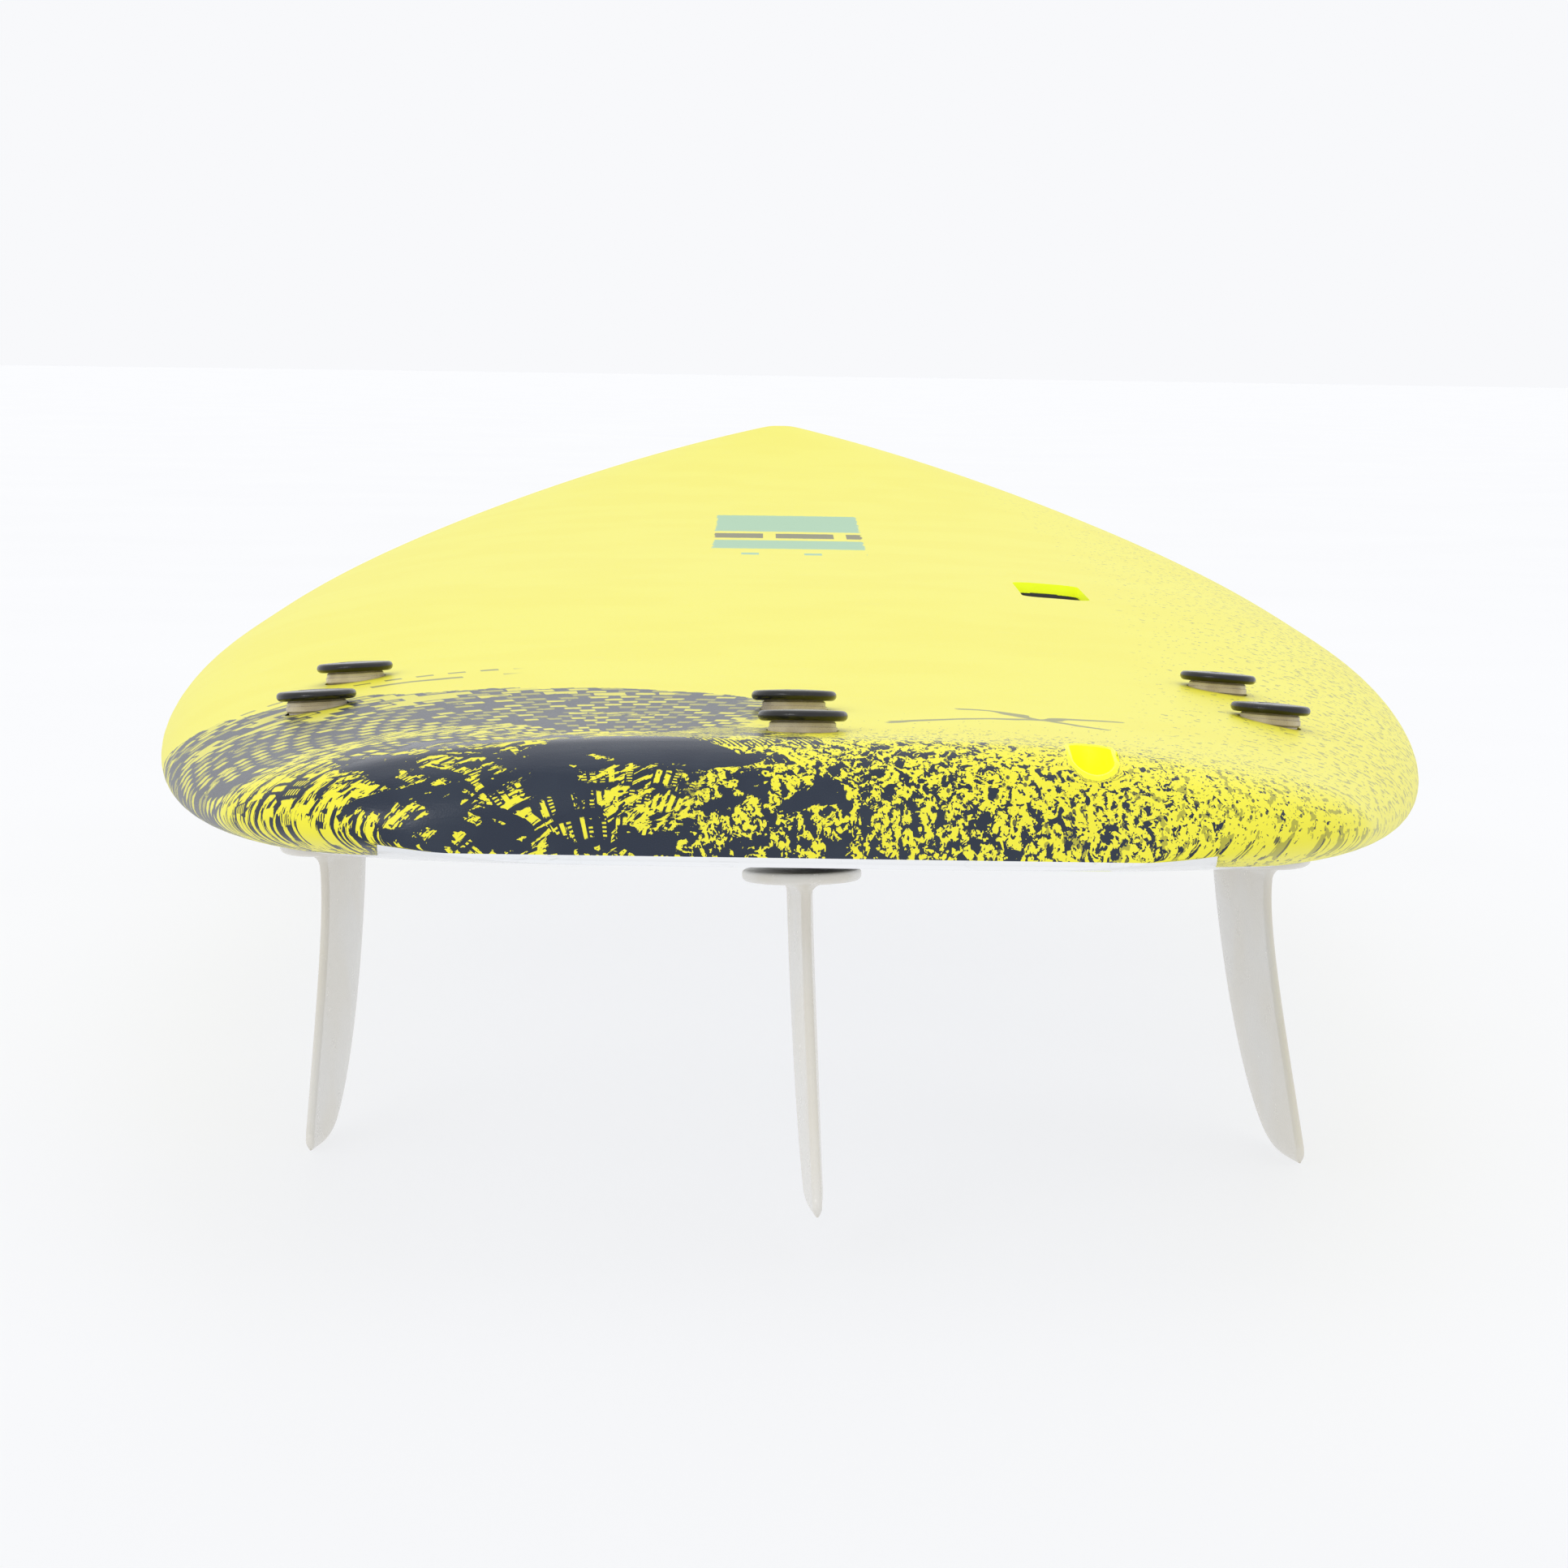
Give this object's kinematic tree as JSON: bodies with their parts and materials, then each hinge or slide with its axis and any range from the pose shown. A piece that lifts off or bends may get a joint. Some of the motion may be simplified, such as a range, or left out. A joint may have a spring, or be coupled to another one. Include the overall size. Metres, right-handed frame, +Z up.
{
  "type": "surfboard",
  "caption": "Soft-top foam surfboard with a squash tail, a recessed carry pocket, a leash slot and bolt-through fins held by coin-slot screws.",
  "frame": {"origin": "middle of the overall box in plan, level with the lowest fin tip", "axes": "+Y runs from the tail to the nose, +Z up on the deck side, +X to the right seen from the tail"},
  "size_m": [0.5462, 1.8294, 0.2234],
  "materials": {
    "deck_foam": "matte",
    "slick_sheet": "gloss",
    "core_foam": "matte",
    "stringer_wood": "matte",
    "handle_plastic": "satin",
    "yellow_plastic": "satin",
    "fin_plastic": "gloss",
    "nylon": "gloss",
    "screw_plastic": "gloss"
  },
  "bodies": {
    "board": {"deck_skin": "deck_foam", "bottom_skin": "slick_sheet", "core_left": "core_foam", "core_centre": "core_foam", "core_right": "core_foam", "stringer_left": "stringer_wood", "stringer_right": "stringer_wood", "handle_cup": "handle_plastic", "leash_tube": "yellow_plastic", "fin_left": "fin_plastic", "fin_centre": "fin_plastic", "fin_right": "fin_plastic", "sleeve_left_rear": "nylon", "sleeve_left_front": "nylon", "sleeve_centre_rear": "nylon", "sleeve_centre_front": "nylon", "sleeve_right_rear": "nylon", "sleeve_right_front": "nylon"},
    "collar_left_rear": {"collar_left_rear": "nylon"},
    "screw_left_rear": {"screw_left_rear": "screw_plastic"},
    "collar_left_front": {"collar_left_front": "nylon"},
    "screw_left_front": {"screw_left_front": "screw_plastic"},
    "collar_centre_rear": {"collar_centre_rear": "nylon"},
    "screw_centre_rear": {"screw_centre_rear": "screw_plastic"},
    "collar_centre_front": {"collar_centre_front": "nylon"},
    "screw_centre_front": {"screw_centre_front": "screw_plastic"},
    "collar_right_rear": {"collar_right_rear": "nylon"},
    "screw_right_rear": {"screw_right_rear": "screw_plastic"},
    "collar_right_front": {"collar_right_front": "nylon"},
    "screw_right_front": {"screw_right_front": "screw_plastic"}
  },
  "joints": [
    {"name": "collar_left_rear_rise", "type": "slide", "parent": "board", "child": "collar_left_rear", "axis": [-0.0667, 0.0503, 0.9965], "range_m": [0, 0.015]},
    {"name": "screw_left_rear_turn", "type": "hinge", "parent": "collar_left_rear", "child": "screw_left_rear", "pos_m": [-0.16957, -0.67347, 0.1552], "axis": [-0.0667, 0.0503, 0.9965], "range_deg": [0, 2160]},
    {"name": "collar_left_front_rise", "type": "slide", "parent": "board", "child": "collar_left_front", "axis": [-0.0667, 0.0503, 0.9965], "range_m": [0, 0.015]},
    {"name": "screw_left_front_turn", "type": "hinge", "parent": "collar_left_front", "child": "screw_left_front", "pos_m": [-0.16399, -0.58474, 0.15873], "axis": [-0.0667, 0.0503, 0.9965], "range_deg": [0, 2160]},
    {"name": "collar_centre_rear_rise", "type": "slide", "parent": "board", "child": "collar_centre_rear", "axis": [-0.0022, 0.0917, 0.9958], "range_m": [0, 0.015]},
    {"name": "screw_centre_rear_turn", "type": "hinge", "parent": "collar_centre_rear", "child": "screw_centre_rear", "pos_m": [0.00149, -0.85676, 0.16575], "axis": [-0.0022, 0.0917, 0.9958], "range_deg": [0, 2160]},
    {"name": "collar_centre_front_rise", "type": "slide", "parent": "board", "child": "collar_centre_front", "axis": [-0.0022, 0.0917, 0.9958], "range_m": [0, 0.015]},
    {"name": "screw_centre_front_turn", "type": "hinge", "parent": "collar_centre_front", "child": "screw_centre_front", "pos_m": [-0.00067, -0.76816, 0.16498], "axis": [-0.0022, 0.0917, 0.9958], "range_deg": [0, 2160]},
    {"name": "collar_right_rear_rise", "type": "slide", "parent": "board", "child": "collar_right_rear", "axis": [0.0639, 0.0533, 0.9965], "range_m": [0, 0.015]},
    {"name": "screw_right_rear_turn", "type": "hinge", "parent": "collar_right_rear", "child": "screw_right_rear", "pos_m": [0.16957, -0.67346, 0.1552], "axis": [0.0639, 0.0533, 0.9965], "range_deg": [0, 2160]},
    {"name": "collar_right_front_rise", "type": "slide", "parent": "board", "child": "collar_right_front", "axis": [0.0639, 0.0533, 0.9965], "range_m": [0, 0.015]},
    {"name": "screw_right_front_turn", "type": "hinge", "parent": "collar_right_front", "child": "screw_right_front", "pos_m": [0.15966, -0.58511, 0.1594], "axis": [0.0639, 0.0533, 0.9965], "range_deg": [0, 2160]}
  ],
  "couplings": [
    {"joint": "collar_left_rear_rise", "follows": "screw_left_rear_turn", "m_per_rad": 0.00039785},
    {"joint": "collar_left_front_rise", "follows": "screw_left_front_turn", "m_per_rad": 0.00039785},
    {"joint": "collar_centre_rear_rise", "follows": "screw_centre_rear_turn", "m_per_rad": 0.00039785},
    {"joint": "collar_centre_front_rise", "follows": "screw_centre_front_turn", "m_per_rad": 0.00039785},
    {"joint": "collar_right_rear_rise", "follows": "screw_right_rear_turn", "m_per_rad": 0.00039785},
    {"joint": "collar_right_front_rise", "follows": "screw_right_front_turn", "m_per_rad": 0.00039785}
  ]
}
